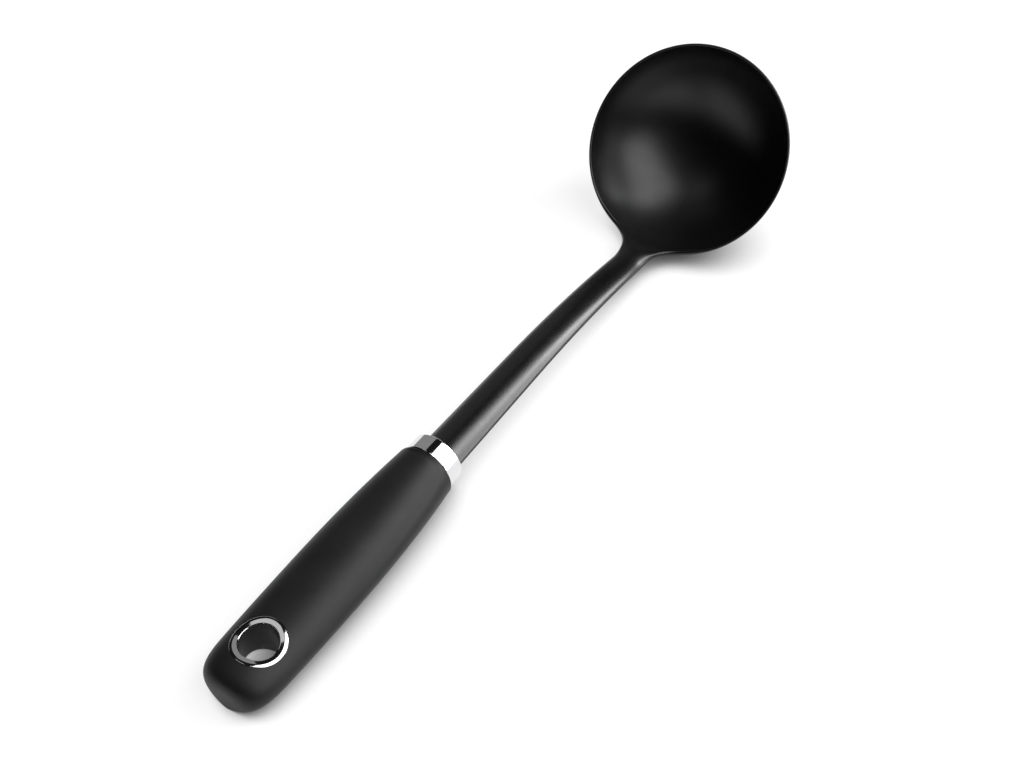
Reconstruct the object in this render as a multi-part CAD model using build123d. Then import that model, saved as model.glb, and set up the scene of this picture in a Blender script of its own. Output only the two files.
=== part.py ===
"""Soup ladle, lying on a table as it rests after use.

Lengths in millimetres, angles in degrees. +X runs from the handle to the bowl, +Z is up and the
table is z = 0. The origin is the middle of the ladle's length, on the table.
"""
from build123d import *
from math import asin, cos, radians, sin, sqrt
import os

os.makedirs("parts", exist_ok=True)

# Bowl: a spherical dish
bowl_diameter = 88.7        # across the rim, outside, before the lip is rounded
bowl_depth = 31.2           # rim plane to the outside of the bottom
bowl_wall = 1.8
bowl_tilt = 46.2            # rim plane to the table
lip_flat = 0.2              # left flat between the lip's two rounded edges

# Stem: a crowned bar that runs level from the handle, then bends down into the bowl
stem_reach = 175.8          # collar's front to the middle of the rim, along the table
stem_bend_start = 57.0      # collar's front to the start of the bend
stem_bend_radius = 450.0
stem_height = 12.6          # middle of the level run above the table
stem_root_width = 17.7      # at the collar
stem_neck_width = 12.9      # at the narrowest
stem_thickness = 5.8
neck_setback = 20.8         # low side of the rim back to the narrowest place
neck_thickness = 4.8
stem_crown = 3.2            # rise of the top across the width at the collar
neck_crown = 1.5
stem_belly = 0.5            # drop of the back's middle below its sides
flare_width = 33.0          # where the neck has spread into the bowl
flare_reach = 7.7           # low side of the rim in to that place
flare_depth = 0.1           # how deep the spread neck lies in the bowl's wall
shoulder_share = 0.8        # of the half width, where the crown turns down to the side
stem_run_shares = (0.0, 0.25, 0.5, 0.75, 1.0)       # places of the stem's sections
neck_run_shares = (0.3, 0.56, 0.8)                  # places of the neck's sections
neck_spread_shares = (0.06, 0.25, 0.58)             # how far each has widened
neck_sink_shares = (0.0, 0.12, 0.5)                 # how far each has sunk into the bowl's wall

# Tang: the part of the moulding hidden in the handle
tang_length = 46.0
tang_width = 12.0
tang_thickness = 4.6
tang_end_rounding = 2.0
socket_clearance = 0.15

# Grip: the soft outer handle, an oval that turns nearly round at the collar
grip_length = 115.0
grip_width = 30.8           # at the widest
grip_rear_width = 29.0      # at the rear end, before it is rounded off
grip_front_width = 23.6
grip_front_thickness = 21.8
grip_rear_thickness = 16.2
grip_front_lift = 0.8       # underside above the table at the collar
grip_skin = 2.2
grip_front_rounding = 1.6
grip_widest_setback = 50.0  # rear end to the widest place
nose_length = 20.0          # rear end to where the rounding starts
nose_power = 3.8            # how square the rounded end is: 2 is an ellipse
nose_flatness = 0.5         # how little the end's thickness follows its width
waist_power = 2.4           # how late the handle narrows towards the collar
thickness_power = 1.3       # how late it thickens
nose_section_shares = (0.004, 0.03, 0.11, 0.26, 0.5, 1.0)     # from the rear end
rear_section_shares = (0.4, 1.0)                            # from the rounding to the widest place
waist_section_shares = (0.25, 0.5, 0.75, 1.0)               # from the widest place to the collar

# Collar: a drawn cup over the core's spigot
collar_length = 7.7
collar_diameter = 22.0
collar_wall = 1.2
collar_rounding = 0.7
collar_clearance = 0.1      # round the spigot and round the stem

# Hanging hole and its two eyelets
hole_setback = 19.6         # rear end to the middle of the hole
hole_diameter = 14.4
eyelet_diameter = 20.4
eyelet_height = 4.6         # face of a ring to its seat
eyelet_bevel_width = 2.2
eyelet_bevel_drop = 2.2
eyelet_proud = 0.3          # upper ring above the grip
eyelet_recess = 0.1         # lower ring below the grip's surface

# Cross pins through core and tang
pin_diameter = 3.0
pin_clearance = 0.05
pin_setback = 12.0          # core's front face to the first pin
pin_spacing = 20.0

overrun = 1.0               # cutting bodies pass the faces that they cut by this much

# Worked out from the sizes above
bowl_radius = bowl_diameter / 2
ball_radius = (bowl_radius**2 + bowl_depth**2) / (2 * bowl_depth)
ball_lift = ball_radius - bowl_depth                    # ball's centre above the rim plane
tilt_sin = sin(radians(bowl_tilt))
tilt_cos = cos(radians(bowl_tilt))
rim_height = ball_radius - ball_lift * tilt_cos         # the ball touches the table
bowl_overhang = ball_radius - ball_lift * tilt_sin      # rim's middle to the far side of the ball
lip_rounding = (bowl_wall - lip_flat) / 2
total_length = grip_length + collar_length + stem_reach + bowl_overhang
rear_x = -total_length / 2
widest_x = rear_x + grip_widest_setback
grip_front_x = rear_x + grip_length
collar_front_x = grip_front_x + collar_length
core_front_x = collar_front_x - collar_wall
bowl_x = collar_front_x + stem_reach
handle_height = grip_front_lift + grip_front_thickness / 2
spigot_radius = collar_diameter / 2 - collar_wall - collar_clearance
hole_x = rear_x + hole_setback
lip_x = bowl_x - bowl_radius * tilt_cos                 # low side of the rim
neck_x = lip_x - neck_setback
flare_x = lip_x + flare_reach
ball_x = bowl_x - ball_lift * tilt_sin
bend_x = collar_front_x + stem_bend_start


def ball_bottom(x, y, inset):
    """Height of the bowl's wall under the point x, y, this far in from the outer face."""
    radius = ball_radius - inset
    return ball_radius - sqrt(radius**2 - (x - ball_x)**2 - y**2)


def stem_middle(x):
    """Height of the stem's middle line: level, then an arc that bends down."""
    bend = max(x - bend_x, 0.0)
    return stem_height - stem_bend_radius + sqrt(stem_bend_radius**2 - bend**2)


def between(start, end, share):
    """Value this share of the way from start to end."""
    return start + (end - start) * share


def bar_section(x, half_width, top, crown, bottom, belly):
    """Smooth closed outline square to X: curved top and back that meet in rounded sides."""
    lean = max(belly - crown, 0) / half_width           # slope of a trough's sides
    waist = (top - crown + bottom + belly) / 2
    shoulder = half_width * shoulder_share
    shoulder_top = top - crown * shoulder_share**2
    shoulder_bottom = bottom + belly * shoulder_share**2
    right = (half_width, waist)
    left = (-half_width, waist)
    upper = Spline(right, (shoulder, shoulder_top), (0, top), (-shoulder, shoulder_top), left,
                   tangents=((-lean, 1), (-lean, -1)))
    lower = Spline(left, (-shoulder, shoulder_bottom), (0, bottom), (shoulder, shoulder_bottom), right,
                   tangents=((-lean, -1), (-lean, 1)))
    return Plane((x, 0, 0), x_dir=(0, 1, 0), z_dir=(1, 0, 0)) * make_face([upper, lower])


def stem_section(x, width, thickness, crown):
    """Section of the stem about its middle line."""
    middle = stem_middle(x)
    top = middle + thickness / 2
    bottom = middle - thickness / 2
    return bar_section(x, width / 2, top, crown, bottom, stem_belly)


def stem_sections():
    """Sections from the shoulder at the core to the narrowest place of the neck."""
    sections = []
    for run_share in stem_run_shares:
        x = between(core_front_x, neck_x, run_share)
        width = between(stem_root_width, stem_neck_width, run_share)
        thickness = between(stem_thickness, neck_thickness, run_share)
        crown = between(stem_crown, neck_crown, run_share)
        sections.append(stem_section(x, width, thickness, crown))
    return sections


def neck_sections():
    """Sections from the narrowest place on, spreading until they lie in the bowl's wall."""
    sections = [stem_section(neck_x, stem_neck_width, neck_thickness, neck_crown)]
    for place_share, spread_share, sink_share in zip(neck_run_shares, neck_spread_shares, neck_sink_shares):
        x = between(neck_x, flare_x, place_share)
        width = between(stem_neck_width, flare_width, spread_share)
        free_top = stem_middle(x) + neck_thickness / 2
        free_bottom = stem_middle(x) - neck_thickness / 2
        top = between(free_top, ball_bottom(x, 0, bowl_wall), sink_share)
        bottom = between(free_bottom, ball_bottom(x, 0, flare_depth), sink_share)
        crown = between(neck_crown, 0, spread_share)
        sections.append(bar_section(x, width / 2, top, crown, bottom, stem_belly))
    half_width = flare_width / 2
    top = ball_bottom(flare_x, 0, bowl_wall - flare_depth)
    bottom = ball_bottom(flare_x, 0, flare_depth)
    top_side = ball_bottom(flare_x, half_width, bowl_wall - flare_depth)
    bottom_side = ball_bottom(flare_x, half_width, flare_depth)
    sections.append(bar_section(flare_x, half_width, top, top - top_side, bottom, bottom_side - bottom))
    return sections


def bowl_shell():
    """Dish of even wall with a rounded lip, tilted as the ladle lies."""
    inner_radius = ball_radius - bowl_wall
    inner_rim = sqrt(inner_radius**2 - ball_lift**2)
    half_angle = asin(bowl_radius / ball_radius) / 2
    inner_half_angle = asin(inner_rim / inner_radius) / 2
    outer_mid = (ball_radius * sin(half_angle), ball_lift - ball_radius * cos(half_angle))
    inner_mid = (inner_radius * sin(inner_half_angle), ball_lift - inner_radius * cos(inner_half_angle))
    outer = ThreePointArc((0, -bowl_depth), outer_mid, (bowl_radius, 0))
    lip = Line((bowl_radius, 0), (inner_rim, 0))
    inner = ThreePointArc((inner_rim, 0), inner_mid, (0, bowl_wall - bowl_depth))
    axis = Line((0, bowl_wall - bowl_depth), (0, -bowl_depth))
    profile = Plane.XZ * make_face([outer, lip, inner, axis])
    shell = revolve(profile, Axis.Z)
    lip_edges = shell.edges().filter_by(GeomType.CIRCLE).group_by(Axis.Z)[-1]
    shell = fillet(lip_edges, lip_rounding)
    return Pos(bowl_x, 0, rim_height) * Rot(0, -bowl_tilt, 0) * shell


def pin_places():
    """X of each cross pin."""
    first = core_front_x - pin_setback
    return (first, first - pin_spacing)


def pin_rod(x, radius, length):
    """Rod across the handle at the tang's height."""
    return Pos(x, 0, stem_height) * Rot(90, 0, 0) * Cylinder(radius, length)


def tang_block(extra):
    """Tang, or the socket for it when extra is its clearance."""
    length = tang_length + extra
    block = Box(length, tang_width + 2 * extra, tang_thickness + 2 * extra)
    block = fillet(block.edges().filter_by(Axis.Z).group_by(Axis.X)[0], tang_end_rounding)
    return Pos(core_front_x - length / 2, 0, stem_height) * block


def ladle_head():
    """Bowl, neck, stem and tang, one moulding."""
    head = bowl_shell() + loft(neck_sections()) + loft(stem_sections()) + tang_block(0)
    for x in pin_places():
        head -= pin_rod(x, pin_diameter / 2 + pin_clearance, tang_width + 2 * overrun)
    return head


def end_size(x, inset):
    """Share of its full width that the handle has at x, where it rounds off to the rear."""
    run_share = min((x - rear_x - inset) / (nose_length - inset), 1)
    return (1 - (1 - run_share)**nose_power)**(1 / nose_power)


def handle_half_width(x, inset):
    """Half the handle's width: rounded off at the rear, and drawn in towards the collar."""
    rear_share = max(widest_x - x, 0) / grip_widest_setback
    front_share = max(x - widest_x, 0) / (grip_front_x - widest_x)
    width = between(grip_width, grip_rear_width, rear_share**2)
    width -= (grip_width - grip_front_width) * front_share**waist_power
    return width / 2 * end_size(x, inset)


def handle_half_thickness(x, inset):
    """Half the handle's thickness, which grows towards the collar."""
    run_share = max(x - rear_x, 0) / grip_length
    thickness = between(grip_rear_thickness, grip_front_thickness, run_share**thickness_power)
    return thickness / 2 * end_size(x, inset)**nose_flatness


def handle_underside(x):
    """Height of the handle's underside: it rises evenly from the table to the collar."""
    return grip_front_lift * (x - rear_x) / grip_length


def handle_section(x, inset):
    """Oval square to X that stands on the underside line, shrunk all round by the inset."""
    half_thickness = handle_half_thickness(x, inset)
    middle = handle_underside(x) + half_thickness
    plane = Plane((x, 0, middle), x_dir=(0, 1, 0), z_dir=(1, 0, 0))
    return plane * Ellipse(handle_half_width(x, inset) - inset, half_thickness - inset)


def handle_body(inset):
    """Whole handle outline, shrunk all round by the inset."""
    nose_x = rear_x + nose_length
    places = [between(rear_x + inset, nose_x, share) for share in nose_section_shares]
    places += [between(nose_x, widest_x, share) for share in rear_section_shares]
    places += [between(widest_x, grip_front_x, share) for share in waist_section_shares]
    return loft([handle_section(x, inset) for x in places])


hole_bottom = handle_underside(hole_x)
hole_top = hole_bottom + 2 * handle_half_thickness(hole_x, 0)


def hole_rod(radius, bottom, top):
    """Upright rod through the hanging hole's middle between two heights."""
    return Pos(hole_x, 0, (bottom + top) / 2) * Cylinder(radius, top - bottom)


def eyelet_room():
    """Space that the hanging hole and both eyelets take out of the handle."""
    ceiling = hole_top + overrun
    room = hole_rod(hole_diameter / 2, -overrun, ceiling)
    room += hole_rod(eyelet_diameter / 2, -overrun, hole_bottom + eyelet_height)
    room += hole_rod(eyelet_diameter / 2, hole_top - eyelet_height, ceiling)
    return room


def eyelet_blank(bottom, top, inset):
    """Ring between two heights whose outer face follows the handle's, this far in from it."""
    ring = hole_rod(eyelet_diameter / 2, bottom, top) - hole_rod(hole_diameter / 2, bottom, top)
    return ring & handle_body(inset)


def eyelet_front():
    """Bright ring on the side that faces up: it follows the grip's crown, bevelled to the hole."""
    ring = eyelet_blank(hole_top - eyelet_height, hole_top + overrun, -eyelet_proud)
    slope = eyelet_bevel_width / eyelet_bevel_drop
    reach = eyelet_bevel_drop + eyelet_proud + overrun
    small = hole_diameter / 2
    bevel = Cone(small, small + reach * slope, reach)
    return ring - Pos(hole_x, 0, hole_top - eyelet_bevel_drop + reach / 2) * bevel


def eyelet_back():
    """The ring underneath, with a straight bore."""
    return eyelet_blank(-overrun, hole_bottom + eyelet_height, eyelet_recess)


def core_block():
    """Inner handle without its socket and pin holes."""
    spigot_length = core_front_x - grip_front_x
    spigot_x = grip_front_x + spigot_length / 2
    spigot = Pos(spigot_x, 0, handle_height) * Rot(0, 90, 0) * Cylinder(spigot_radius, spigot_length)
    return handle_body(grip_skin) + spigot - eyelet_room()


def handle_core():
    """Rigid inner handle: socket for the tang, spigot for the collar, wall of the hanging hole."""
    core = core_block() - tang_block(socket_clearance)
    for x in pin_places():
        core -= pin_rod(x, pin_diameter / 2 + pin_clearance, grip_width)
    return core


def tang_pins():
    """Two cross pins, ground flush with the core."""
    body = core_block()
    return [body & pin_rod(x, pin_diameter / 2, grip_width) for x in pin_places()]


def grip():
    """Soft outer handle moulded round the core."""
    outer = handle_body(0)
    outer = fillet(outer.edges().group_by(Axis.X)[-1], grip_front_rounding)
    return outer - handle_body(grip_skin) - eyelet_room()


def collar():
    """Bright cup over the spigot, its front turned in to the stem."""
    length = collar_length
    radius = collar_diameter / 2
    cup = Cylinder(radius, length)
    cup = fillet(cup.edges().group_by(Axis.Z)[-1], collar_rounding)
    cup -= Pos(0, 0, -collar_wall) * Cylinder(radius - collar_wall, length)
    cup = Pos(grip_front_x + length / 2, 0, handle_height) * Rot(0, 90, 0) * cup
    play = 2 * collar_clearance
    window = stem_section(core_front_x - overrun, stem_root_width + play, stem_thickness + play, stem_crown)
    return cup - extrude(window, collar_wall + 2 * overrun)


export_step(ladle_head(), "parts/ladle_head.step")
export_step(collar(), "parts/collar.step")
export_step(handle_core(), "parts/handle_core.step")
export_step(Compound(children=tang_pins()), "parts/tang_pins.step")
export_step(grip(), "parts/grip.step")
export_step(eyelet_front(), "parts/eyelet_front.step")
export_step(eyelet_back(), "parts/eyelet_back.step")
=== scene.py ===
# %% [markdown]
# # A soup ladle, dressed
#
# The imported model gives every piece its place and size. This notebook gives the pieces their looks:
# smooth surfaces worked out as whole arrays of points, materials made of nodes, a studio, and a
# camera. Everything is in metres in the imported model's frame: +X runs from the handle to the bowl,
# +Z is up and the table is z = 0. Shapes are worked out in millimetres and scaled once at the end.

import bmesh
import bpy
import numpy as np
from mathutils import Matrix, Vector


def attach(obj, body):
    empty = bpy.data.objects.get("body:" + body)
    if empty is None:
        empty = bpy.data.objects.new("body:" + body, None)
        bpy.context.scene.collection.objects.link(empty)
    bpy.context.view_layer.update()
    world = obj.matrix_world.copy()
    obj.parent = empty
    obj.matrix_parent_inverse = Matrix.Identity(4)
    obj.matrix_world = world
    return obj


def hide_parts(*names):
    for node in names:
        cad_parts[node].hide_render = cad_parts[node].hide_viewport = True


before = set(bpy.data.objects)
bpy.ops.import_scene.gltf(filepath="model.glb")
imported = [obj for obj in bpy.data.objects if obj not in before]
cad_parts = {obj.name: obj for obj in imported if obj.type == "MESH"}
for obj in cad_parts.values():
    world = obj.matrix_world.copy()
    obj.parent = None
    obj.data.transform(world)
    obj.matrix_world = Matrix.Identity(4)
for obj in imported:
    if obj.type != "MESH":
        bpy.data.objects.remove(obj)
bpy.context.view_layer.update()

# %% [markdown]
# ## Sizes
#
# The shapes below stand where the solids stand, so they repeat the solids' sizes. Places along X
# are counted from the middle of the bowl's rim, which lies `BOWL_X` from the model's origin.

# %% Sizes shared by the pieces, in millimetres
BOWL_X = 131.435            # middle of the rim in the model's frame
BALL_RADIUS = 47.121        # outside of the bowl
BALL_X = -11.49             # the ball's centre from the rim's middle
BOWL_WALL = 1.8
BOWL_TILT = np.radians(46.2)
GRIP_REAR = -298.5          # rear end of the grip
GRIP_FRONT = -183.5         # the grip's front, where the collar starts
COLLAR_FRONT = -175.8
HOLE_X = -278.9             # middle of the hanging hole
HOLE_RADIUS = 7.2
EYELET_RADIUS = 10.2

print("grip length, mm:", GRIP_FRONT - GRIP_REAR)

# %% [markdown]
# ## From grids to a closed mesh
#
# A moulded or spun surface has no corners to speak of, so it is easiest to describe as a sheet of
# points in rows and columns. Several sheets make one piece: they share their border points, and
# welding those closes the piece. Box modelling with a subdivision modifier would also give smooth
# forms, but it rounds by rule of thumb, and here every radius is known. Edges sharper than 40
# degrees keep their crease, so a turned ring reflects in clean bands.

# %% Smooth step and the faces of a grid
def ease(value):
    """Smooth step: 0 below 0, 1 above 1, and 6t^5 - 15t^4 + 10t^3 in between."""
    t = np.clip(value, 0, 1)
    return t**3 * (t * (6 * t - 15) + 10)


def grid_faces(rows, columns, wrap=False):
    """Quads: point (i, j) has number i * columns + j, and wrap joins the last column to the first."""
    i = np.arange(rows - 1)[:, None] * columns
    j = np.arange(columns if wrap else columns - 1)[None, :]
    k = (j + 1) % columns
    corners = np.stack([i + j, i + k, i + columns + k, i + columns + j], axis=-1)
    return corners.reshape(-1, 4)


print("half way, the smooth step is", ease(0.5))

# %% Weld patches into one piece
WELD = 2e-6                 # metres: points closer than this become one
CREASE = np.radians(40)


def build_piece(name, patches, body="root"):
    """One mesh from patches of (points in mm, wrap): welded where they meet, facing outwards."""
    points, faces, count = [], [], 0
    for grid, wrap in patches:
        rows, columns = grid.shape[:2]
        points.append(grid.reshape(-1, 3))
        faces.append(grid_faces(rows, columns, wrap) + count)
        count += rows * columns
    coordinates = np.concatenate(points)
    coordinates[:, 0] += BOWL_X
    mesh = bpy.data.meshes.new(name)
    mesh.from_pydata((coordinates / 1000).tolist(), [], np.concatenate(faces).tolist())
    work = bmesh.new()
    work.from_mesh(mesh)
    bmesh.ops.remove_doubles(work, verts=work.verts, dist=WELD)
    bmesh.ops.dissolve_degenerate(work, dist=1e-7, edges=work.edges)
    bmesh.ops.recalc_face_normals(work, faces=work.faces)
    open_edges = sum(edge.is_boundary for edge in work.edges)
    work.to_mesh(mesh)
    work.free()
    mesh.shade_smooth()
    mesh.set_sharp_from_angle(angle=CREASE)
    piece = bpy.data.objects.new(name, mesh)
    bpy.context.scene.collection.objects.link(piece)
    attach(piece, body)
    print(name, "faces:", len(mesh.polygons), "open edges:", open_edges)
    return piece


# %% [markdown]
# ## The head
#
# Bowl, neck and stem are one moulding, and the hard part is the neck, where a level bar turns into
# the wall of a round dish without a seam. Joining two meshes would leave a crease there. Instead
# the whole head is drawn once as a flat pattern, like a paper cut-out of the wall's middle
# surface, and two maps bend that pattern into space: one wraps it onto a ball, the other lays it
# along the stem. Where the neck is, the result is a smooth mix of the two.

# %% Flat outline of the head
LIP_WALL = 1.1                              # the wall thins towards the lip
WALL_BALL = BALL_RADIUS - BOWL_WALL / 2     # ball through the middle of the wall
RIM_REACH = WALL_BALL * np.radians(69.72)   # along the wall from the bottom's middle to the lip
SIDE_SCALE = 0.726                          # width in space for width in the pattern, on the bar
BAR_SHIFT = 26.9                            # x of the bar less its place in the pattern
NECK_HALF = 6.45 / SIDE_SCALE
STEM_HALF = 8.85 / SIDE_SCALE
FILLET = 22.0                               # radius of the pattern's hollow from neck to rim
INTO_COLLAR = 5.0                           # how far the stem runs on behind the collar's front


def head_outline():
    """Half of the outline: the stem's side, a hollow arc tangent to it, and the rim's circle."""
    arc_v = NECK_HALF + FILLET
    arc_u = -np.sqrt((RIM_REACH + FILLET)**2 - arc_v**2)
    stem_u = np.linspace(COLLAR_FRONT - INTO_COLLAR - BAR_SHIFT, arc_u, 92)[:-1]
    taper = (stem_u - arc_u) / (COLLAR_FRONT - BAR_SHIFT - arc_u)
    stem = np.stack([stem_u, NECK_HALF + (STEM_HALF - NECK_HALF) * taper], axis=-1)
    sweep = np.linspace(-np.pi / 2, np.arctan2(-arc_v, -arc_u), 44)[:-1]
    arc = np.stack([arc_u + FILLET * np.cos(sweep), arc_v + FILLET * np.sin(sweep)], axis=-1)
    turn = np.linspace(np.arctan2(arc_v, arc_u), 0, 150)
    rim = RIM_REACH * np.stack([np.cos(turn), np.sin(turn)], axis=-1)
    return np.concatenate([stem, arc, rim]), len(stem), len(stem) + len(arc)


outline, arc_start, rim_start = head_outline()
print("outline points:", len(outline))
print("narrowest half width, mm:", outline[:rim_start, 1].min() * SIDE_SCALE)


# %% [markdown]
# Each point of the outline is joined to a point on the middle line: straight across on the stem,
# to the bowl's bottom along the rim, and sliding from one to the other on the hollow arc. Along
# such a row the wall keeps its thickness until it is one edge radius from the outline, and then
# closes in a quarter of an ellipse, above and below.

# %% Rows of the pattern, and how thick the wall is along them
SHEET_COLUMNS = 34
BAR_EDGE = 0.8              # edge radius on the stem, where the lip's is half its wall
BAR_BLEND = 16.0            # the edge radius changes over this much of the pattern
THIN_TURN = np.radians(22)  # the lip reaches its thin wall this far round from the neck
THIN_WIDTH = 16.0           # and thins over this width below the edge


def head_rows():
    """Points (u, v), thickness share and wall of each row: a straight line, dense at the edge."""
    middle = np.zeros_like(outline)
    middle[:arc_start, 0] = outline[:arc_start, 0]
    slide = np.linspace(0, 1, rim_start - arc_start + 1)[:-1]
    middle[arc_start:rim_start, 0] = outline[arc_start, 0] * (1 - slide)
    reach = outline - middle
    along = np.gradient(outline, axis=0)
    normal = np.stack([-along[:, 1], along[:, 0]], axis=-1)
    normal /= np.linalg.norm(normal, axis=1, keepdims=True)
    depth = np.abs((reach * normal).sum(1))
    bar = ease((RIM_REACH * -0.93 - outline[:, 0]) / BAR_BLEND)
    edge = LIP_WALL / 2 + (BAR_EDGE - LIP_WALL / 2) * bar
    edge_share = (edge / depth)[:, None]
    even = np.linspace(0, 1, SHEET_COLUMNS + 1)[None, :-1]
    sheet = (1 - (1 - even)**1.5) * (1 - edge_share)
    angle = np.linspace(0, np.pi / 2, 11)
    rounding = 1 - edge_share * (1 - np.sin(angle)[None, :])
    share = np.concatenate([sheet, rounding], axis=1)
    thick = np.concatenate([np.ones(SHEET_COLUMNS), np.cos(angle)])
    thick[-1] = 0
    bearing = np.arctan2(outline[:, 1], outline[:, 0])
    on_rim = np.arange(len(outline)) >= rim_start
    thinning = ease((bearing[rim_start] - bearing) / THIN_TURN) * on_rim
    inwards = depth[:, None] * (1 - share)
    near_edge = 1 - ease(inwards / THIN_WIDTH)
    wall = BOWL_WALL - (BOWL_WALL - LIP_WALL) * thinning[:, None] * near_edge
    return middle[:, None, :] + reach[:, None, :] * share[:, :, None], thick[None, :], wall


pattern, thickness_share, bowl_wall = head_rows()
print("pattern grid:", pattern.shape)


# %% [markdown]
# The ball map keeps distances from the bowl's bottom, as a globe map centred on a pole does. The
# bar map stacks a crown and a belly on the stem's middle line, which runs level and then bends
# down in a wide arc.

# %% Ball map
def ball_map(u, v, side, share, wall):
    """Polar map: the angle from the bowl's bottom is distance / radius; side is in or out."""
    angle = np.hypot(u, v) / WALL_BALL
    radius = BALL_RADIUS - wall / 2 - side * share * wall / 2
    spread = radius * np.sinc(angle / np.pi) / WALL_BALL
    down = radius * np.cos(angle)
    x = BALL_X + down * np.sin(BOWL_TILT) + spread * u * np.cos(BOWL_TILT)
    z = BALL_RADIUS - down * np.cos(BOWL_TILT) + spread * u * np.sin(BOWL_TILT)
    return np.stack([x, spread * v, z], axis=-1)


bowl_bottom = ball_map(0.0, 0.0, -1, 1.0, BOWL_WALL)
print("outside of the bowl's bottom, mm:", bowl_bottom)

# %% Bar map
NECK_X = -51.5              # where the stem has its least thickness
STEM_THICKNESS = 5.8        # at the collar, 1 mm more than at the neck
STEM_MIDDLE = 12.6          # height of the stem's middle line where it is level
STEM_ARC = 450.0            # radius of its bend
BEND_START = 57.0           # the bend starts this far from the collar


def bar_map(u, v, side, share):
    """Level bar: its middle falls off as an arc. The crown drops with the square of the width,
    and near the edge with its eighth power too, and the belly rises the same way by less."""
    x = u + BAR_SHIFT
    run = np.clip((x - COLLAR_FRONT) / (NECK_X - COLLAR_FRONT), 0, 1)
    bend = np.maximum(x - COLLAR_FRONT - BEND_START, 0)
    middle = STEM_MIDDLE - STEM_ARC + np.sqrt(STEM_ARC**2 - bend**2)
    half_width = np.interp(u, outline[:rim_start, 0], outline[:rim_start, 1])
    across = np.minimum(v / half_width, 1)
    crown_drop, shoulder_drop = 3.2 - 1.7 * run, 0.6 + 0.2 * run
    top = (STEM_THICKNESS - run) / 2 - crown_drop * across**2 - shoulder_drop * across**8
    bottom = -(STEM_THICKNESS - run) / 2 + 0.5 * across**2 + 0.5 * across**8
    z = middle + (top + bottom) / 2 + side * share * (top - bottom) / 2
    return np.stack([x, SIDE_SCALE * v, z], axis=-1)


print("stem's top at the collar, mm:", bar_map(COLLAR_FRONT - BAR_SHIFT, 0.0, 1, 1.0))


# %% [markdown]
# The mix runs over 22 mm of the pattern at the neck, with the smooth step, so neither slope nor
# curvature jumps there, as on the real moulding. Only half of the head is worked out: the other
# half is its mirror image.

# %% Mix the maps and build the head
MIX_START = -52.0           # nearer the bowl's bottom than this, the ball alone
MIX_LENGTH = 22.0


def head_side(side):
    """Upper (side 1) or under (side -1) face of half the head: ball on the bowl, bar on the stem."""
    u, v = pattern[..., 0], pattern[..., 1]
    mix = ease((MIX_START - u) / MIX_LENGTH)[..., None]
    on_ball = ball_map(u, v, side, thickness_share, bowl_wall)
    on_bar = bar_map(u, v, side, thickness_share)
    return (1 - mix) * on_ball + mix * on_bar


def mirrored(grid):
    """The same grid on the other side of the middle plane."""
    return grid * np.array([1, -1, 1])


upper, under = head_side(1), head_side(-1)
end_loop = np.stack([upper[0], under[0]])
head_patches = [(grid, False) for grid in (upper, under, end_loop)]
head_patches += [(mirrored(grid), False) for grid, _ in head_patches]
ladle_head = build_piece("ladle_head_moulding", head_patches)
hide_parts("ladle_head")

# %% [markdown]
# ## The grip
#
# The grip is a soft skin of even thickness over a rigid inner handle. It is an oval tube whose
# sections change along its length, closed at the rear like a rounded box, with a round hole
# through it. The hole makes it hard for a plain grid: cutting it out afterwards would leave thin
# triangles round a bright ring, where every flaw shows. So the grid leaves out a block of squares
# there, and a patch of rings fills the space between that block's edge and the hole.

# %% Shape of the handle
GRIP_LENGTH = GRIP_FRONT - GRIP_REAR
GRIP_SKIN = 2.2
GRIP_WIDTH = 30.8
WIDEST = 50.0               # from the rear end
NOSE = 20.0                 # length of the rounded rear end
NOSE_POWER = 3.8            # 2 would be an ellipse, more is boxier
UNDERSIDE_RISE = 0.8        # from the rear to the collar


def end_size(x, inset):
    """Superellipse over the nose: 0 at the rear end, 1 where the rounding starts."""
    run = np.clip((x - GRIP_REAR - inset) / (NOSE - inset), 0, 1)
    return (1 - (1 - run)**NOSE_POWER)**(1 / NOSE_POWER)


def full_height(x):
    """16.2 mm at the rear, and 5.6 mm more in front, by the power 1.3 of the way along."""
    return 16.2 + 5.6 * np.clip((x - GRIP_REAR) / GRIP_LENGTH, 0, 1)**1.3


def half_sizes(x, inset):
    """Half width and half height of the oval at x: widest near the rear, thickest in front."""
    rear = np.maximum(WIDEST - (x - GRIP_REAR), 0) / WIDEST
    front = np.maximum(x - GRIP_REAR - WIDEST, 0) / (GRIP_LENGTH - WIDEST)
    width = GRIP_WIDTH - 1.8 * rear**2 - 7.2 * front**2.4
    size = end_size(x, inset)
    return width / 2 * size - inset * size, full_height(x) / 2 * size**0.5 - inset * size**0.5


def middle_height(x, inset):
    """Height of the oval's middle: half its full height over the slowly rising underside."""
    run = (x - GRIP_REAR) / GRIP_LENGTH
    return UNDERSIDE_RISE * run + full_height(x) / 2 * end_size(x, inset)**0.5


def handle_height(x, y, side, inset=0.0):
    """Height of the handle's upper (1) or under (-1) face over the point x, y."""
    wide, high = half_sizes(x, inset)
    return middle_height(x, inset) + side * high * np.sqrt(np.maximum(1 - (y / wide)**2, 0))


print("handle's crown over the hole, mm:", float(handle_height(np.array(HOLE_X), 0.0, 1)))


# %% [markdown]
# The rear end closes like a rounded box, so even steps along X would leave it coarse where it
# turns most. The sections there are spaced by their size instead, which keeps the faces even round
# the nose. The rings of each hole patch lie on the handle's own face, so light runs over the
# patch's border without a kink.

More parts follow.
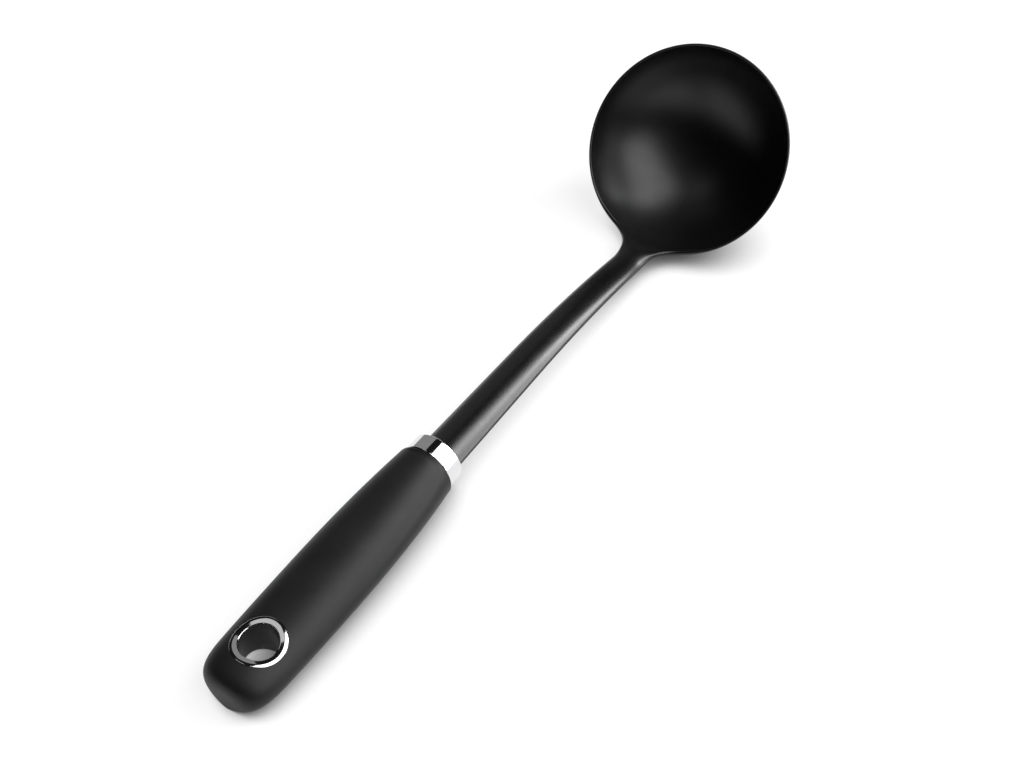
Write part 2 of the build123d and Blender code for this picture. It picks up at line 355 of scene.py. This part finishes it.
# %% Sections of the handle's skin
SECTION_POINTS = 112
nose_size = np.sin(np.linspace(0, np.pi / 2, 26))
nose_run = NOSE * (1 - (1 - nose_size**NOSE_POWER)**(1 / NOSE_POWER))
skin_x = GRIP_REAR + np.concatenate([nose_run[:-1], np.linspace(NOSE, GRIP_LENGTH, 74)])
turn = 2 * np.pi * np.arange(SECTION_POINTS) / SECTION_POINTS


def skin_grid(inset):
    """Points (x, half width times cosine, middle plus half height times sine) of every section."""
    x = GRIP_REAR + inset + (skin_x - GRIP_REAR) * (GRIP_LENGTH - inset) / GRIP_LENGTH
    wide, high = half_sizes(x, inset)
    y = wide[:, None] * np.cos(turn)
    z = middle_height(x, inset)[:, None] + high[:, None] * np.sin(turn)
    return np.stack([np.broadcast_to(x[:, None], y.shape), y, z], axis=-1)


print("sections along the grip:", len(skin_x))

# %% Leave out a block round the hole, and fill it with rings
BLOCK_REAR, BLOCK_FRONT = 14.5, 14.0    # the block's ends from the hole's middle
BLOCK_SPAN = 18                         # columns to each side of the crown


def hole_patch(grid, rows, columns, side, inset):
    """Rings from the block's edge to the circle of the eyelet, laid on the handle's face."""
    first, last = rows
    block = grid[first:last + 1][:, columns]
    edge = np.concatenate([block[0, :-1], block[:-1, -1], block[-1, :0:-1], block[:0:-1, 0]])
    angle = np.arctan2(edge[:, 1], edge[:, 0] - HOLE_X)
    circle = np.stack([HOLE_X + EYELET_RADIUS * np.cos(angle), EYELET_RADIUS * np.sin(angle)], -1)
    share = np.linspace(0, 1, 11)[:, None, None]
    flat = edge[None, :, :2] * (1 - share) + circle[None] * share
    height = handle_height(flat[..., 0], flat[..., 1], side, inset)
    rings = np.concatenate([flat, height[..., None]], axis=-1)
    rings[0] = edge
    return rings


def open_skin(inset):
    """The grid in pieces round the two blocks with both hole patches, the grid, and both circles."""
    grid = skin_grid(inset)
    first = int(np.searchsorted(skin_x, HOLE_X - BLOCK_REAR))
    last = int(np.searchsorted(skin_x, HOLE_X + BLOCK_FRONT))
    quarter = SECTION_POINTS // 4
    upper_columns = np.arange(quarter - BLOCK_SPAN, quarter + BLOCK_SPAN + 1)
    under_columns = upper_columns + 2 * quarter
    left = np.arange(upper_columns[-1], under_columns[0] + 1)
    right = np.arange(under_columns[-1], upper_columns[0] + SECTION_POINTS + 1) % SECTION_POINTS
    patches = [(grid[:first + 1], True), (grid[last:], True)]
    patches += [(grid[first:last + 1][:, left], False), (grid[first:last + 1][:, right], False)]
    upper_rings = hole_patch(grid, (first, last), upper_columns, 1, inset)
    under_rings = hole_patch(grid, (first, last), under_columns, -1, inset)
    patches += [(upper_rings, True), (under_rings, True)]
    return patches, grid, (upper_rings[-1], under_rings[-1])


outer_patches, _, outer_holes = open_skin(0.0)
inner_patches, inner_grid, inner_holes = open_skin(GRIP_SKIN)
print("patches in each face of the skin:", len(outer_patches))


# %% [markdown]
# The skin's inner face is the same shape drawn in by the skin's thickness. The front edge is
# rolled over in a quarter circle before the flat front meets the collar.

# %% Build the grip
FRONT_ROLL = 0.8


def rolled_front(grid, radius):
    """Quarter circle from the last section to the flat front, moved in towards the middle line."""
    loop = grid[-1]
    middle = loop.mean(0)
    outwards = (loop - middle) / np.linalg.norm(loop - middle, axis=1, keepdims=True)
    angle = np.linspace(0, np.pi / 2, 9)[:, None, None]
    rows = loop[None] - outwards[None] * radius * (1 - np.cos(angle))
    rows[..., 0] = GRIP_FRONT - radius + radius * np.sin(angle[..., 0])
    return rows


front_rows = outer_patches[1][0]
front_rows[-1, :, 0] = GRIP_FRONT - FRONT_ROLL
front_rows[-2, :, 0] = GRIP_FRONT - FRONT_ROLL - 0.1
rolled = rolled_front(front_rows, FRONT_ROLL)
front_face = np.stack([rolled[-1], inner_grid[-1]])
walls = [(np.stack([outer, inner]), True) for outer, inner in zip(outer_holes, inner_holes)]
front = [(rolled, True), (front_face, True)]
grip = build_piece("soft_grip", outer_patches + inner_patches + walls + front)
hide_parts("grip")

# %% [markdown]
# ## The collar
#
# A short bright cap closes the grip's front and hides where the stem goes in. Caps of this kind are
# often drawn from thin sheet, so this one's front is turned in to the stem over a small
# radius. That makes it one closed profile carried round a circle. A cylinder with a Bevel modifier
# would do as well, but the opening for the stem is a flattened oval, and the profile's last rows
# can simply change from a circle to that oval.

# %% Build the collar
COLLAR_RADIUS = 11.0
COLLAR_BORE = 9.8
COLLAR_Z = 11.7             # height of the collar's axis
STEM_Z = 12.4               # height of the middle of the stem's opening
TURN_IN = 0.7               # radius of the front edge
FRONT_SHEET = 1.2


def stem_window(angle, gap=0.1):
    """Superellipse round the stem, this gap out from it, as distance from its middle."""
    wide, high = 8.85 + gap, 2.9 + gap
    power = 3.2
    return (np.abs(np.cos(angle) / wide)**power + np.abs(np.sin(angle) / high)**power)**(-1 / power)


def rings_at(x, radius, z, angle):
    """Circles of this radius about a middle at height z; columns of x and radius give more rows."""
    sides = np.broadcast_arrays(x, radius * np.cos(angle), z + radius * np.sin(angle))
    return np.stack(sides, axis=-1)


def build_collar():
    """Radius and place along the axis of each profile point, turned about the collar's axis."""
    angle = np.linspace(0, 2 * np.pi, 145)[:-1]
    bend = np.linspace(0, np.pi / 2, 8)
    front = COLLAR_RADIUS - TURN_IN + TURN_IN * np.cos(bend)
    radius = np.concatenate([[COLLAR_BORE, 10.8, 10.93], [COLLAR_RADIUS] * 3, front, [10.2]])
    rear_place = GRIP_FRONT + np.array([0.02, 0.02, 0.07, 0.2, 0.3])
    front_place = COLLAR_FRONT - TURN_IN + TURN_IN * np.sin(bend)
    place = np.concatenate([rear_place, [COLLAR_FRONT - 0.8], front_place, [COLLAR_FRONT]])
    outer = rings_at(place[:, None], radius[:, None], COLLAR_Z, angle)
    rim = rings_at(COLLAR_FRONT, stem_window(angle), STEM_Z, angle)
    inside = rim - np.array([FRONT_SHEET, 0, 0])
    cup = rings_at(COLLAR_FRONT - FRONT_SHEET, COLLAR_BORE, COLLAR_Z, angle)
    rows = np.concatenate([outer, rim[None], inside[None], cup[None], outer[:1]])
    return build_piece("bright_collar", [(rows, True)])


collar = build_collar()
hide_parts("collar")

# %% [markdown]
# ## The eyelets
#
# A bright ring is pressed into the hanging hole from above, and a plainer one, which is a guess,
# from below. A ring's face is not flat: it follows the crown of the grip, so each point's height is
# the handle's height there plus the profile's rise. That gives the ring its saddle shape, which a
# torus or a lathe could not. Inside, a small rounding leads to a shallow cone, a narrow land and a
# rounded outer edge: each of them shows as a bright or dark arc of its own.

# %% A ring from its profile
def build_eyelet(name, side, seat, profile):
    """Profile of (radius, rise over the grip's face), bore to outer edge, carried round the hole."""
    angle = np.linspace(0, 2 * np.pi, 161)[:-1]
    radius = np.array([point[0] for point in profile])[:, None]
    rise = np.array([point[1] for point in profile])[:, None]
    x, y = HOLE_X + radius * np.cos(angle), radius * np.sin(angle)
    z = handle_height(x, y, side) + side * rise
    face = np.stack([x, y, z], axis=-1)
    bore = np.stack([x[0], y[0], np.full_like(x[0], seat)], axis=-1)
    skirt = np.stack([x[-1], y[-1], np.full_like(x[-1], seat)], axis=-1)
    rows = np.concatenate([bore[None], face, skirt[None], bore[None]])
    return build_piece(name, [(rows, True)])


crown = float(handle_height(np.array(HOLE_X), 0.0, 1))
sole = float(handle_height(np.array(HOLE_X), 0.0, -1))
RING_DEPTH = 4.6            # from the crown or the sole to the ring's seat
print("grip's height at the hole, mm:", crown - sole)

# %% The ring that faces up
lip = np.linspace(0, np.pi / 2, 7)
inner_turn = np.radians(np.linspace(180, 105, 9))
face_profile = [(HOLE_RADIUS, -1.4), (HOLE_RADIUS, -0.95)]
face_profile += [(7.7 + 0.5 * np.cos(a), -0.87 + 0.5 * np.sin(a)) for a in inner_turn]
face_profile += [(7.65, -0.371), (8.9, -0.036), (8.96, -0.02), (9.06, -0.002)]
face_profile += [(9.16, 0.01), (9.3, 0.02), (9.86, 0.02)]
face_profile += [(9.9 + 0.3 * np.sin(a), 0.02 - 0.3 * (1 - np.cos(a))) for a in lip]
eyelet_front = build_eyelet("eyelet_face_ring", 1, crown - RING_DEPTH, face_profile)
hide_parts("eyelet_front")

# %% The ring below
back_profile = [(HOLE_RADIUS, -0.35), (7.35, -0.15), (7.6, -0.1)]
back_profile += [(9.9, -0.1), (10.12, -0.16), (EYELET_RADIUS, -0.3)]
eyelet_back = build_eyelet("eyelet_back_ring", -1, sole + RING_DEPTH, back_profile)
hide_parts("eyelet_back")

# %% [markdown]
# ## Materials
#
# Five finishes: satin black nylon, a soft-touch rubber skin, bright plated metal, the plain moulded
# plastic inside the hanging hole, and ground steel. Each reads Object coordinates, so its grain
# keeps its size on every piece.

# %% Empty material, noise and spread
def new_material(name):
    """Empty node material with a Principled shader, and helpers to add and join nodes."""
    material = bpy.data.materials.new(name)
    material.use_nodes = True
    nodes, links = material.node_tree.nodes, material.node_tree.links
    return material, nodes, links, nodes["Principled BSDF"]


def noise(nodes, links, scale, detail=2.0):
    """Noise on Object coordinates: scale is in cells per metre."""
    where = nodes.new("ShaderNodeTexCoord")
    texture = nodes.new("ShaderNodeTexNoise")
    texture.inputs["Scale"].default_value = scale
    texture.inputs["Detail"].default_value = detail
    links.new(where.outputs["Object"], texture.inputs["Vector"])
    return texture.outputs["Fac"]


def ranged(nodes, links, value, low, high):
    """Spreads a 0 to 1 value between low and high."""
    node = nodes.new("ShaderNodeMapRange")
    node.inputs["From Min"].default_value = 0.3
    node.inputs["From Max"].default_value = 0.7
    node.inputs["To Min"].default_value = low
    node.inputs["To Max"].default_value = high
    links.new(value, node.inputs["Value"])
    return node.outputs["Result"]


# %% [markdown]
# No moulded or polished part is quite even. Bump adds grain too fine to model, by tilting the
# shading normal, and a ramp between two close greys breaks up the flat colour. Both stay faint: on
# a dark glossy piece they are seen only in the highlights.

# %% Bump and tint
def bumped(nodes, links, shader, height, distance):
    """Bump from a height value; distance is its depth in metres."""
    node = nodes.new("ShaderNodeBump")
    node.inputs["Distance"].default_value = distance
    links.new(height, node.inputs["Height"])
    links.new(node.outputs["Normal"], shader.inputs["Normal"])


def tinted(nodes, links, shader, value, dark, light):
    """Base colour between two greys, by a 0 to 1 value."""
    ramp = nodes.new("ShaderNodeValToRGB")
    ramp.color_ramp.elements[0].position = 0.3
    ramp.color_ramp.elements[1].position = 0.7
    ramp.color_ramp.elements[0].color = (*dark, 1)
    ramp.color_ramp.elements[1].color = (*light, 1)
    links.new(value, ramp.inputs["Fac"])
    links.new(ramp.outputs["Color"], shader.inputs["Base Color"])


# %% [markdown]
# ## Satin black nylon
#
# The head looks like glass-filled nylon, black all through, with a satin skin. Nearly all that is
# seen of it is reflection, so its colour is close to nothing and the roughness does the work. The
# bowl looks duller than the stem: its highlight is broad and soft, while the stem shows a firmer
# edge between light and dark. So roughness rises along X at the neck. The specular level is a
# little over the default, for a plastic filled with glass.

# %% Satin black nylon, duller in the bowl
nylon, nodes, links, shader = new_material("satin_black_nylon")
deep_black, soft_black = (0.0016, 0.0016, 0.0017), (0.0024, 0.0024, 0.0025)
tinted(nodes, links, shader, noise(nodes, links, 60), deep_black, soft_black)
where = nodes.new("ShaderNodeTexCoord")
split = nodes.new("ShaderNodeSeparateXYZ")
links.new(where.outputs["Object"], split.inputs["Vector"])
duller = nodes.new("ShaderNodeMapRange")
duller.inputs["From Min"].default_value = 0.075
duller.inputs["From Max"].default_value = 0.105
duller.inputs["To Min"].default_value = 0.0
duller.inputs["To Max"].default_value = 0.09
links.new(split.outputs["X"], duller.inputs["Value"])
total = nodes.new("ShaderNodeMath")
total.operation = "ADD"
links.new(duller.outputs["Result"], total.inputs[0])
links.new(ranged(nodes, links, noise(nodes, links, 220, 3), 0.26, 0.29), total.inputs[1])
links.new(total.outputs["Value"], shader.inputs["Roughness"])
shader.inputs["Specular IOR Level"].default_value = 0.6
bumped(nodes, links, shader, noise(nodes, links, 1500, 2), 0.0000015)
print(nylon.name, "nodes:", len(nodes))

# %% [markdown]
# ## Soft-touch skin
#
# The grip looks like a soft rubber skin moulded over an inner handle. It is matt, a little greyer
# than the nylon, and reflects less than a hard plastic does, so the specular level is low and the
# roughness high. A velvet or sheen layer would brighten its edges, which the real one lacks.

# %% Soft-touch skin
skin, nodes, links, shader = new_material("soft_touch_skin")
dark_grey, mid_grey = (0.010, 0.010, 0.0104), (0.013, 0.013, 0.0134)
tinted(nodes, links, shader, noise(nodes, links, 90), dark_grey, mid_grey)
links.new(ranged(nodes, links, noise(nodes, links, 500, 3), 0.41, 0.45), shader.inputs["Roughness"])
shader.inputs["Specular IOR Level"].default_value = 0.22
bumped(nodes, links, shader, noise(nodes, links, 3200, 3), 0.000008)
print(skin.name, "nodes:", len(nodes))

# %% [markdown]
# ## Bright plating
#
# Collar and eyelets look chrome plated: a metal shader of high, slightly uneven brightness and low
# roughness. Its bump is very weak, the waviness of polished sheet, which makes the edges of the
# reflections wander a little instead of being drawn with a ruler.

# %% Bright plated metal
chrome, nodes, links, shader = new_material("bright_plating")
shader.inputs["Metallic"].default_value = 1.0
tinted(nodes, links, shader, noise(nodes, links, 40), (0.74, 0.74, 0.75), (0.79, 0.79, 0.80))
links.new(ranged(nodes, links, noise(nodes, links, 900, 4), 0.05, 0.075), shader.inputs["Roughness"])
bumped(nodes, links, shader, noise(nodes, links, 160, 2), 0.000004)
print(chrome.name, "nodes:", len(nodes))

# %% [markdown]
# ## Inside the handle
#
# The inner handle shows only as the wall of the hanging hole, and the pins not at all, but a shared
# part may be taken apart or cut open, so both get a finish of their own: dull moulded plastic, and
# steel with fine grinding marks.

# %% Moulded plastic
core_plastic, nodes, links, shader = new_material("moulded_core")
tinted(nodes, links, shader, noise(nodes, links, 120), (0.010, 0.010, 0.010), (0.015, 0.015, 0.015))
links.new(ranged(nodes, links, noise(nodes, links, 700), 0.36, 0.42), shader.inputs["Roughness"])
bumped(nodes, links, shader, noise(nodes, links, 1800), 0.000006)
print(core_plastic.name, "nodes:", len(nodes))

# %% Ground steel
steel, nodes, links, shader = new_material("ground_steel")
shader.inputs["Metallic"].default_value = 1.0
tinted(nodes, links, shader, noise(nodes, links, 1500), (0.5, 0.5, 0.5), (0.6, 0.6, 0.6))
links.new(ranged(nodes, links, noise(nodes, links, 2500), 0.3, 0.4), shader.inputs["Roughness"])
bumped(nodes, links, shader, noise(nodes, links, 2500), 0.000003)
print(steel.name, "nodes:", len(nodes))

# %% [markdown]
# ## Putting the finishes on
#
# New pieces get one slot each. The hole's wall is dark right up to an eyelet's bright lip, so the
# part of a ring that lines the hole carries the moulded plastic in a second slot, picked by its
# distance from the hole's middle. The pieces that stay as packed only change the material in the
# slots they have.

# %% Give each piece its finish
def finish(piece, material):
    """One material slot with this material."""
    piece.data.materials.clear()
    piece.data.materials.append(material)


def darken_bore(ring):
    """Second slot, the moulded plastic, on faces whose middle is no farther out than the bore."""
    ring.data.materials.append(core_plastic)
    middles = np.empty(len(ring.data.polygons) * 3)
    ring.data.polygons.foreach_get("center", middles)
    middles = middles.reshape(-1, 3) * 1000 - np.array([BOWL_X + HOLE_X, 0, 0])
    on_wall = np.hypot(middles[:, 0], middles[:, 1]) < HOLE_RADIUS + 0.01
    ring.data.polygons.foreach_set("material_index", on_wall.astype(np.int32))
    print(ring.name, "wall faces:", int(on_wall.sum()))


finish(ladle_head, nylon)
finish(grip, skin)
for ring in (collar, eyelet_front, eyelet_back):
    finish(ring, chrome)
for ring in (eyelet_front, eyelet_back):
    darken_bore(ring)
for name, material in (("handle_core", core_plastic), ("tang_pins", steel)):
    for index in range(len(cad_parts[name].data.materials)):
        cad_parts[name].data.materials[index] = material
print("materials:", sorted(material.name for material in bpy.data.materials))

# %% [markdown]
# ## Studio
#
# The ladle lies on white paper. A pale floor that is only lit turns grey wherever the lamps fall
# off, and brighter lamps would bleach the ladle. So for camera rays and reflections the paper's
# colour is mostly a steady glow, a little short of white, with a weak lit part on top. The glow is
# held back where the ladle covers the paper's view, measured with ambient occlusion that leans
# towards +X and +Y, so the soft shadow falls on the near side and right under the piece. Most of
# the shadow seen is this one, and the lamps' own shadow shows only in the weak lit part. Diffuse
# rays still see plain pale paper.

# %% Floor plane
FLOOR_HALF = 4              # metres
corners = [(-1, -1), (1, -1), (1, 1), (-1, 1)]
floor_mesh = bpy.data.meshes.new("floor")
floor_mesh.from_pydata([(FLOOR_HALF * x, FLOOR_HALF * y, 0) for x, y in corners], [], [(0, 1, 2, 3)])
floor = bpy.data.objects.new("floor", floor_mesh)
bpy.context.scene.collection.objects.link(floor)
print("floor corners:", len(floor_mesh.vertices))

# %% Which rays see the glow
paper, nodes, links, shader = new_material("white_paper")
shader.inputs["Roughness"].default_value = 0.9
shader.inputs["Specular IOR Level"].default_value = 0.0


def calculated(nodes, links, operation, first, second):
    """Math node on a socket and on a second socket or a plain number."""
    node = nodes.new("ShaderNodeMath")
    node.operation = operation
    links.new(first, node.inputs[0])
    if isinstance(second, float):
        node.inputs[1].default_value = second
    else:
        links.new(second, node.inputs[1])
    return node.outputs["Value"]


seen = nodes.new("ShaderNodeLightPath").outputs
glossy, through_glass = seen["Is Glossy Ray"], seen["Is Transmission Ray"]
mirrored_ray = calculated(nodes, links, "MAXIMUM", glossy, through_glass)
sees_glow = calculated(nodes, links, "MAXIMUM", seen["Is Camera Ray"], mirrored_ray)
white = nodes.new("ShaderNodeMix")
white.data_type = "RGBA"
white.inputs["A"].default_value = (0.8, 0.8, 0.8, 1)
white.inputs["B"].default_value = (0.2, 0.2, 0.2, 1)
links.new(sees_glow, white.inputs["Factor"])
links.new(white.outputs["Result"], shader.inputs["Base Color"])
print("paper for diffuse rays:", tuple(white.inputs["A"].default_value)[:3])

# %% Shadow under the ladle
open_sky = nodes.new("ShaderNodeAmbientOcclusion")
open_sky.inputs["Distance"].default_value = 0.065
open_sky.samples = 32
leaning = nodes.new("ShaderNodeCombineXYZ")
leaning.inputs["X"].default_value = 0.33
leaning.inputs["Y"].default_value = 0.45
leaning.inputs["Z"].default_value = 0.83
links.new(leaning.outputs["Vector"], open_sky.inputs["Normal"])
contact = nodes.new("ShaderNodeMapRange")
contact.interpolation_type = "SMOOTHSTEP"
contact.inputs["From Min"].default_value = 0.04
contact.inputs["From Max"].default_value = 0.72
links.new(open_sky.outputs["AO"], contact.inputs["Value"])
GLOW = 0.84                 # 1 would be white by itself
glow = calculated(nodes, links, "MULTIPLY", contact.outputs["Result"], sees_glow)
strength = calculated(nodes, links, "MULTIPLY", glow, GLOW)
shader.inputs["Emission Color"].default_value = (1, 1, 1, 1)
links.new(strength, shader.inputs["Emission Strength"])
finish(floor, paper)
print(paper.name, "nodes:", len(nodes))

# %% [markdown]
# ## Light
#
# Black glossy plastic is lit by what it mirrors, not by how much light falls on it. The world is
# therefore almost dark, and large lamps stand where the highlights need them. A level grey card in
# the ladle's place renders 1.2 times as bright as its written colour, a little over a plain level.

# %% Dim room
world = bpy.data.worlds.new("studio")
bpy.context.scene.world = world
world.use_nodes = True
dim = world.node_tree.nodes["Background"].inputs
dim["Color"].default_value = (1, 1, 1, 1)
dim["Strength"].default_value = 0.01
print("world strength:", dim["Strength"].default_value)

# %% [markdown]
# Each lamp is given as a direction from the ladle in degrees, since a mirror-like surface knows a
# lamp only by its direction. Its long side runs along a plane, given by that plane's normal,
# because the edge between light and dark on the stem is the mirror image of a lamp's straight edge.
# Two bright panels beside each other light the -Y side of stem and collar, a weaker one carries
# the light on behind them, the broad overhead panel is what the bowl mirrors, and two small grey
# cards stand for the collar's +Y side and the eyelet.

# %% Soft lamps
def soft_light(name, turn, lift, distance, size, edge, brightness):
    """Even lamp facing the middle: direction in degrees, one side along the plane of this normal."""
    turn, lift = np.radians(turn), np.radians(lift)
    towards = Vector((np.cos(lift) * np.cos(turn), np.cos(lift) * np.sin(turn), np.sin(lift)))
    along = towards.cross(Vector(edge)).normalized()
    across = along.cross(towards)
    lamp = bpy.data.lights.new(name, "AREA")
    lamp.shape = "RECTANGLE"
    lamp.size, lamp.size_y = size
    lamp.energy = brightness * np.pi * size[0] * size[1]
    holder = bpy.data.objects.new(name, lamp)
    facing = Matrix((across, along, towards)).transposed().to_4x4()
    holder.matrix_world = Matrix.Translation(towards * distance) @ facing
    bpy.context.scene.collection.objects.link(holder)
    print(name, "watts:", round(lamp.energy, 2))


STEM_EDGE = (0.52, 0.823, -0.224)
COLLAR_EDGE = (0.84, 0.411, -0.356)
BOWL_EDGE = (0.927, -0.287, -0.243)
soft_light("key_light", -29.9, 40.5, 4.0, (0.7, 3.4), STEM_EDGE, 8.1)
soft_light("low_light", -44.5, 24.2, 4.0, (1.3, 4.64), COLLAR_EDGE, 7.6)
soft_light("bridge_light", -59, 27.5, 4.0, (0.75, 4.9), COLLAR_EDGE, 2.1)
soft_light("fill_light", -82, 59.5, 2.0, (1.35, 2.7), BOWL_EDGE, 2.95)
soft_light("side_card", 55, 27, 0.8, (0.5, 0.85), (1, 0, 0), 0.27)
soft_light("top_card", 102, 63.5, 1.5, (0.5, 0.5), (1, 0, 0), 0.6)

# %% [markdown]
# ## Camera
#
# The camera stands beyond the grip's rear end, on the -Y side, and looks down at 48 degrees. A
# 63 mm lens on a 36 mm frame gives the bowl and the grip's rear end their relative sizes. The
# Standard view keeps tones as they are, where Filmic or AgX would change them.

# %% Camera
scene = bpy.context.scene
scene.view_settings.view_transform = "Standard"
lens = bpy.data.cameras.new("camera")
lens.lens = 63.28
lens.sensor_width = 36
lens.clip_start = 0.01
camera = bpy.data.objects.new("camera", lens)
scene.collection.objects.link(camera)
look = Vector((0.5431, 0.38914, -0.74405)).normalized()
rise = Vector((0.61642, 0.41692, 0.66799))
rise = (rise - look * rise.dot(look)).normalized()
turned = Matrix((look.cross(rise), rise, -look)).transposed()
camera.matrix_world = Matrix.Translation((-0.376535, -0.27232, 0.52859)) @ turned.to_4x4()
scene.camera = camera
print("camera looks down at, degrees:", round(float(np.degrees(np.arcsin(-look.z))), 1))
